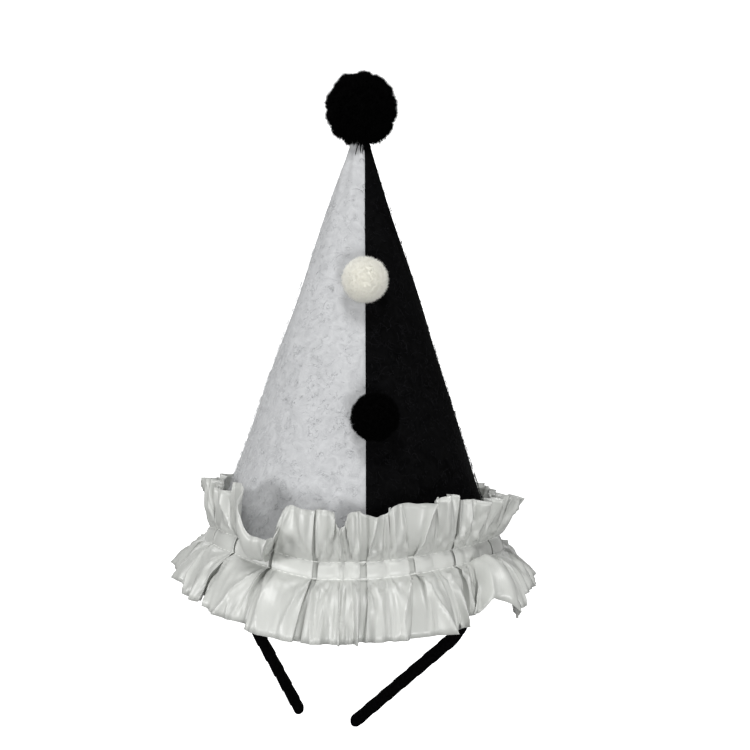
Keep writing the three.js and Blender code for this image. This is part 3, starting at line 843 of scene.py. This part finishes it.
def sphere_ways(count):
    """Directions spread evenly over a ball."""
    i = np.arange(count)
    height = 1 - (2 * i + 1) / count
    turn = i * math.pi * (3 - math.sqrt(5))
    flat = np.sqrt(1 - height ** 2)
    return np.stack([flat * np.cos(turn), flat * np.sin(turn), height], axis=-1)


def lump_reach(ways, tufts, lump):
    """How far the pile reaches in each direction: rounded over a tuft, lower between two."""
    nearness = np.sort(ways @ tufts.T, axis=1)
    away = np.arccos(np.clip(nearness[:, -1], -1, 1))
    spacing = math.sqrt(4 * math.pi / len(tufts)) / 2
    return 1 - lump * np.clip(away / spacing, 0, TUFT_REACH) ** 2


def ball(stretch, centre, reach):
    """A closed ball whose radius follows reach(directions), stretched along each axis."""
    sides = POMPOM_SIDES
    tilt = np.linspace(0, math.pi, POMPOM_RINGS)[1:-1, None]
    turn = np.arange(sides)[None, :] * 2 * math.pi / sides
    flat = np.sin(tilt)
    ways = np.stack([flat * np.cos(turn), flat * np.sin(turn), np.cos(tilt) + 0 * turn], axis=-1)
    ways = np.concatenate([ways.reshape(-1, 3), [[0, 0, 1], [0, 0, -1]]])
    points = centre + ways * stretch * reach(ways)[:, None]
    faces = []
    body = POMPOM_RINGS - 2
    for j in range(sides):
        k = (j + 1) % sides
        for i in range(body - 1):
            faces.append((i * sides + j, (i + 1) * sides + j, (i + 1) * sides + k, i * sides + k))
        faces.append((body * sides, j, k))
        faces.append((body * sides + 1, (body - 1) * sides + k, (body - 1) * sides + j))
    return points, faces


def pompom(name, size, centre, material, seed):
    random = np.random.default_rng(seed)
    radius = size["radius"]
    jitter = random.normal(0, TUFT_JITTER, (size["tufts"], 3))
    tufts = unit(sphere_ways(size["tufts"]) + jitter)
    ways = unit(sphere_ways(size["strands"]) + random.normal(0, STRAND_JITTER, (size["strands"], 3)))
    nearest = tufts[np.argmax(ways @ tufts.T, axis=1)]
    reach = lump_reach(ways, tufts, size["lump"]) * random.normal(1, size["wild"], len(ways))
    if "stray" in size:
        away = np.arccos(np.clip(ways @ unit(np.array(STRAY_WAY)), -1, 1))
        reach = reach + size["stray"] * np.exp(-(away / STRAY_WIDTH) ** 2) * random.uniform(0, 1, len(ways))
    root = unit(mix(ways, nearest, STRAND_GATHER)) * STRAND_ROOT
    tip = ways * reach[:, None]
    middle = mix(root, tip, STRAND_MIDDLE) + random.normal(0, STRAND_CURL, ways.shape)
    stretch = np.array([1, 1, size.get("tall", 1)]) * radius
    path = np.stack([root, middle, tip], axis=1) * stretch + centre
    z = path[:, 2, 2]
    free = np.hypot(path[:, 2, 0] - cone_centre(z), path[:, 2, 1]) > cone_radius(z) + SEAT_GAP
    path = path[free | (z > TIP_Z + SEAT_GAP)]
    core, core_faces = ball(stretch * POMPOM_CORE, centre, lambda w: lump_reach(w, tufts, size["lump"]))
    flat = cone_radius(core[:, 2]) + SEAT_GAP
    away = core[:, :2] - np.stack([cone_centre(core[:, 2]), 0 * core[:, 2]], axis=-1)
    distance = np.linalg.norm(away, axis=1)
    inside = (distance < flat) & (core[:, 2] < TIP_Z + SEAT_GAP)
    if not free.all() and "rise" in size:
        core[inside, :2] += (away / distance[:, None] * (flat - distance)[:, None])[inside]
    points = np.concatenate([core, strand_points(path, size["thick"])])
    faces = core_faces + strand_faces(len(path), 3, len(core))
    return add_piece(name, points, faces, material)


def on_cone(size):
    z = RIM_Z + size["rise"]
    reach = size["radius"] * (1 - size["sink"]) / math.hypot(1, CONE_SLOPE)
    middle = around_cone(cone_radius(z) + reach, np.array(math.radians(size["turn"])), np.array(z))
    return middle + (0, 0, reach * CONE_SLOPE)


def tie_threads(material):
    """Loose ends of the yarn that ties the top pompom onto the cone's tip."""
    random = np.random.default_rng(SEEDS["tie"])
    right, up = TIE_START
    start = np.array([cone_centre(TIP_Z) + right, -TIP_RADIUS, TIP_Z + up])
    paths = np.empty((TIE_ENDS, TIE_STEPS, 3))
    place = start + random.normal(0, 1, (TIE_ENDS, 3)) * TIE_SPREAD
    heading = random.normal(0, 1, (TIE_ENDS, 3)) * TIE_HEADING_SPREAD + TIE_HEADING
    for i in range(TIE_STEPS):
        paths[:, i] = place
        place = place + heading * TIE_STEP
        heading = heading + random.normal(0, 1, (TIE_ENDS, 3)) * TIE_CURL
        z = np.minimum(place[:, 2], TIP_Z)
        beside = place[:, 0] - cone_centre(z)
        front = np.sqrt(np.maximum((cone_radius(z) + TIE_GAP) ** 2 - beside ** 2, 0))
        place[:, 1] = np.minimum(place[:, 1], -front)
    points = strand_points(paths, TIE_THICK)
    return add_piece("tie_threads", points, strand_faces(TIE_ENDS, TIE_STEPS), material)


# Headband


def band_place(length, side):
    """How far out and down the band's middle line is after a length, and how far it has turned."""
    sizes = LEFT_BAND if side < 0 else RIGHT_BAND
    out, down, angle, rest = 0.0, 0.0, 0.0, length
    for radius, section in ((ARCH_RADIUS, sizes["arch"]), (SHOULDER_RADIUS, sizes["shoulder"])):
        step = min(rest, section)
        end = angle + step / radius
        out += radius * (math.sin(end) - math.sin(angle))
        down += radius * (math.cos(angle) - math.cos(end))
        angle = end
        rest -= step
    out += rest * math.cos(angle)
    down += rest * math.sin(angle)
    return side * out, down, side * angle


def rotate(points, axis, angle):
    c, s = math.cos(angle), math.sin(angle)
    if axis == "x":
        matrix = [[1, 0, 0], [0, c, -s], [0, s, c]]
    else:
        matrix = [[c, 0, s], [0, 1, 0], [-s, 0, c]]
    return points @ np.array(matrix).T


def wrap_swell(share):
    """How thick the wrapped ribbon is: each turn swells slowly and then steps down."""
    share = share - np.floor(share)
    crest = 1 - WRAP_EDGE / WRAP_PITCH
    return np.where(share < crest, share / crest, (1 - share) / (1 - crest))


def band_ring(length, side, total):
    out, down, angle = band_place(length, side)
    lean = math.radians(BAND_LEAN)
    twist = lean * (1 - min(1, length / BAND_TWIST_LENGTH))
    round_turn = np.arange(BAND_SIDES) * 2 * math.pi / BAND_SIDES
    phase = length / WRAP_PITCH + side * WRAP_SLANT * np.sin(round_turn) + WRAP_SHIFT * np.cos(round_turn)
    shrink = WRAP_RISE * (1 - wrap_swell(phase))
    left = max(0.0, total - length) / TIP_ROUNDING
    tip = math.sqrt(max(TIP_LEAST, 1 - (1 - min(1, left)) ** 2))
    c, s = np.cos(round_turn), np.sin(round_turn)
    norm = (np.abs(c) ** BAND_SQUARENESS + np.abs(s) ** BAND_SQUARENESS) ** (-1 / BAND_SQUARENESS)
    across = (BAND_WIDTH / 2 * norm * c - shrink * c) * tip
    through = (BAND_THICKNESS / 2 * norm * s - shrink * s) * tip
    points = np.stack([0 * across, across, through], axis=-1)
    points = rotate(rotate(points, "x", -twist), "y", angle)
    points = rotate(points + (out, 0, -down), "x", lean)
    return points + (0, 0, BAND_THICKNESS / 2)


def headband(material):
    rings = []
    for side, sizes in ((-1, LEFT_BAND), (1, RIGHT_BAND)):
        total = sum(sizes.values())
        count = round(total / BAND_STEP)
        lengths = [total * i / count for i in range(count + 1)]
        half = [band_ring(length, side, total) for length in lengths]
        rings = half[:0:-1] if side < 0 else rings + half
    faces = tube_faces(len(rings), BAND_SIDES)
    return add_piece("band_ribbon", np.concatenate(rings), faces, material, sharp=BAND_SHARP)


# Materials


def new_material(name, **inputs):
    """A material with a Principled shader whose plain inputs are set on its own sockets."""
    material = bpy.data.materials.new(name)
    material.use_nodes = True
    nodes = material.node_tree.nodes
    shader = nodes["Principled BSDF"]
    for key, value in inputs.items():
        shader.inputs[key.replace("_", " ")].default_value = value
    return material, nodes, material.node_tree.links, shader


def noise_node(nodes, links, place, scale, detail=4, roughness=0.5, distortion=0, kind="FBM"):
    node = nodes.new("ShaderNodeTexNoise")
    node.noise_type = kind
    node.inputs["Scale"].default_value = scale
    node.inputs["Detail"].default_value = detail
    node.inputs["Roughness"].default_value = roughness
    node.inputs["Distortion"].default_value = distortion
    links.new(place, node.inputs["Vector"])
    return node.outputs["Fac"]


def ramp(nodes, links, value, stops):
    node = nodes.new("ShaderNodeValToRGB")
    links.new(value, node.inputs["Fac"])
    points = node.color_ramp.elements
    for element, (position, colour) in zip(points, stops):
        element.position = position
        element.color = (*colour, 1)
    for position, colour in stops[2:]:
        element = points.new(position)
        element.color = (*colour, 1)
    return node.outputs["Color"]


def blend(nodes, links, kind, share, first, second):
    node = nodes.new("ShaderNodeMix")
    node.data_type = "RGBA"
    node.blend_type = kind
    node.inputs["Factor"].default_value = share
    links.new(first, node.inputs["A"])
    links.new(second, node.inputs["B"])
    return node.outputs["Result"]


def add_bump(nodes, links, shader, height, distance, strength=1, before=None):
    node = nodes.new("ShaderNodeBump")
    node.inputs["Strength"].default_value = strength
    node.inputs["Distance"].default_value = distance
    links.new(height, node.inputs["Height"])
    if before:
        links.new(before, node.inputs["Normal"])
    links.new(node.outputs["Normal"], shader.inputs["Normal"])
    return node.outputs["Normal"]


def object_place(nodes):
    return nodes.new("ShaderNodeTexCoord").outputs["Object"]


def felt_material(name, dark, light, fibre, sheen):
    material, nodes, links, shader = new_material(
        name, Roughness=1.0, Sheen_Weight=sheen, Sheen_Roughness=0.6, Specular_IOR_Level=0.03)
    place = object_place(nodes)
    mottle = noise_node(nodes, links, place, scale=160, detail=6, roughness=0.62, distortion=1.4)
    colour = ramp(nodes, links, mottle, [(0.3, dark), (0.72, light)])
    curls = noise_node(nodes, links, place, scale=330, detail=2, distortion=2.2, kind="RIDGED_MULTIFRACTAL")
    bright = ramp(nodes, links, curls, [(0.45, (0, 0, 0)), (0.95, fibre)])
    links.new(blend(nodes, links, "ADD", 0.5, colour, bright), shader.inputs["Base Color"])
    first = add_bump(nodes, links, shader, mottle, distance=0.0005, strength=0.45)
    add_bump(nodes, links, shader, curls, distance=0.0003, strength=0.5, before=first)
    return material


def satin_material():
    material, nodes, links, shader = new_material(
        "white_satin", Roughness=0.4, Anisotropic=0.5, Specular_IOR_Level=0.9)
    uv = nodes.new("ShaderNodeUVMap")
    uv.uv_map = "cloth"
    tangent = nodes.new("ShaderNodeTangent")
    tangent.direction_type = "UV_MAP"
    tangent.uv_map = "cloth"
    links.new(tangent.outputs["Tangent"], shader.inputs["Tangent"])
    place = object_place(nodes)
    tone = noise_node(nodes, links, place, scale=60, detail=3)
    colour = ramp(nodes, links, tone, [(0.3, (0.52, 0.53, 0.505)), (0.7, (0.57, 0.58, 0.555))])
    links.new(colour, shader.inputs["Base Color"])
    ribs = nodes.new("ShaderNodeTexWave")
    ribs.bands_direction = "X"
    ribs.inputs["Scale"].default_value = 500
    ribs.inputs["Distortion"].default_value = 0.6
    links.new(uv.outputs["UV"], ribs.inputs["Vector"])
    crease = noise_node(nodes, links, place, scale=420, detail=3, roughness=0.6)
    first = add_bump(nodes, links, shader, ribs.outputs["Fac"], distance=0.00005, strength=0.25)
    add_bump(nodes, links, shader, crease, distance=0.0002, strength=0.2, before=first)
    return material


def yarn_material(name, dark, light, roughness=0.95, gloss=0.05):
    material, nodes, links, shader = new_material(name, Roughness=roughness, Specular_IOR_Level=gloss)
    tone = noise_node(nodes, links, object_place(nodes), scale=900, detail=2)
    links.new(ramp(nodes, links, tone, [(0.3, dark), (0.7, light)]), shader.inputs["Base Color"])
    return material


def ribbon_material():
    material, nodes, links, shader = new_material("black_ribbon", Roughness=0.9, Specular_IOR_Level=0.01)
    place = object_place(nodes)
    tone = noise_node(nodes, links, place, scale=700, detail=3)
    colour = ramp(nodes, links, tone, [(0.3, (0.0008, 0.0008, 0.0008)), (0.7, (0.003, 0.003, 0.0033))])
    links.new(colour, shader.inputs["Base Color"])
    weave = nodes.new("ShaderNodeTexWave")
    weave.bands_direction = "DIAGONAL"
    weave.inputs["Scale"].default_value = 420
    links.new(place, weave.inputs["Vector"])
    add_bump(nodes, links, shader, weave.outputs["Fac"], distance=0.0001, strength=0.6)
    return material


# Room, lights and camera


def aim(thing, target):
    way = np.array(target, dtype=float) - np.array(thing.location)
    tilt = math.pi / 2 + math.atan2(way[2], math.hypot(way[0], way[1]))
    thing.rotation_euler = (tilt, 0, math.atan2(way[1], way[0]) - math.pi / 2)


def room():
    """A white backdrop that fills the camera's view behind the hat."""
    half = BACKDROP_SIZE / 2
    corners = [(-half, -half), (half, -half), (half, half), (-half, half)]
    points = [(x, BACKDROP_Y, z) for x, z in corners]
    material, nodes, links, shader = new_material("room", Roughness=1, Specular_IOR_Level=0)
    tone = noise_node(nodes, links, object_place(nodes), scale=3, detail=2)
    colour = ramp(nodes, links, tone, [(0, (0.9, 0.9, 0.9)), (1, (0.92, 0.92, 0.92))])
    links.new(colour, shader.inputs["Base Color"])
    shader.inputs["Emission Color"].default_value = (1, 1, 1, 1)
    shader.inputs["Emission Strength"].default_value = 1
    add_piece("backdrop", points, [(0, 1, 2, 3)], material)


def area_light(name, place, size, energy):
    data = bpy.data.lights.new(name, "AREA")
    data.shape = "DISK"
    data.size = size
    data.energy = energy
    light = bpy.data.objects.new(name, data)
    light.location = place
    bpy.context.scene.collection.objects.link(light)
    aim(light, LIGHT_AIM)


def lights():
    for light in LIGHTS:
        area_light(**light)
    world = bpy.data.worlds.new("studio")
    world.use_nodes = True
    world.node_tree.nodes["Background"].inputs["Color"].default_value = (1, 1, 1, 1)
    world.node_tree.nodes["Background"].inputs["Strength"].default_value = WORLD_LIGHT
    bpy.context.scene.world = world


def camera():
    data = bpy.data.cameras.new("camera")
    data.lens = CAMERA_LENS
    data.sensor_width = CAMERA_SENSOR
    data.shift_x = CAMERA_SHIFT_X
    data.shift_y = CAMERA_SHIFT_Y
    view = bpy.data.objects.new("camera", data)
    view.location = CAMERA_PLACE
    bpy.context.scene.collection.objects.link(view)
    aim(view, CAMERA_AIM)
    bpy.context.scene.camera = view


def place_piece(piece, slot, *nodes):
    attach(piece, "root")
    if nodes:
        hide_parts(*nodes)


camera()
room()
lights()
bpy.context.scene.view_settings.view_transform = "Standard"

white_felt = felt_material(
    "white_felt", dark=(0.43, 0.436, 0.446), light=(0.57, 0.577, 0.587), fibre=(0.25, 0.25, 0.25), sheen=0.1)
black_felt = felt_material(
    "black_felt", dark=(0.0012, 0.0012, 0.0013), light=(0.004, 0.004, 0.0043), fibre=(0.008, 0.008, 0.009),
    sheen=0.0)
white_fibre = yarn_material("white_fibre", (0.6, 0.61, 0.62), (0.74, 0.75, 0.76))
black_fibre = yarn_material("black_fibre", (0.008, 0.008, 0.009), (0.016, 0.016, 0.018))
satin = satin_material()
thread = yarn_material("satin_thread", (0.7, 0.71, 0.68), (0.84, 0.85, 0.82), roughness=0.5, gloss=0.4)
black_yarn = yarn_material("black_yarn", (0.0006, 0.0006, 0.0006), (0.0025, 0.0025, 0.0025), gloss=0.01)
white_yarn = yarn_material("white_yarn", (0.9, 0.89, 0.82), (0.98, 0.97, 0.91))

place_piece(felt_half("felt_left", -1, white_felt), "white_felt", "cone_white")
place_piece(felt_half("felt_right", 1, black_felt), "black_felt", "cone_black")
place_piece(base_disc(black_felt), "black_felt", "base_disc")
place_piece(felt_fibres("fibres_left", -1, white_fibre, SEEDS["fibres_left"]), "white_felt")
place_piece(felt_fibres("fibres_right", 1, black_fibre, SEEDS["fibres_right"]), "black_felt")

ruffle_piece, ribbon_width, ribbon_area = ruffle(satin)
place_piece(ruffle_piece, "white_satin", "ruffle")
place_piece(stitches(thread), "white_satin")

top_centre = around_cone(0, np.array(0.0), np.array(TIP_Z + TOP_POMPOM["over_tip"]))
place_piece(pompom("yarn_top", TOP_POMPOM, top_centre, black_yarn, SEEDS["yarn_top"]),
            "black_yarn", "top_pompom")
place_piece(pompom("yarn_white", WHITE_POMPOM, on_cone(WHITE_POMPOM), white_yarn, SEEDS["yarn_white"]),
            "white_yarn", "white_pompom")
place_piece(pompom("yarn_black", BLACK_POMPOM, on_cone(BLACK_POMPOM), black_yarn, SEEDS["yarn_black"]),
            "black_yarn", "black_pompom")
place_piece(tie_threads(black_yarn), "black_yarn")
place_piece(headband(ribbon_material()), "black_ribbon", "headband")
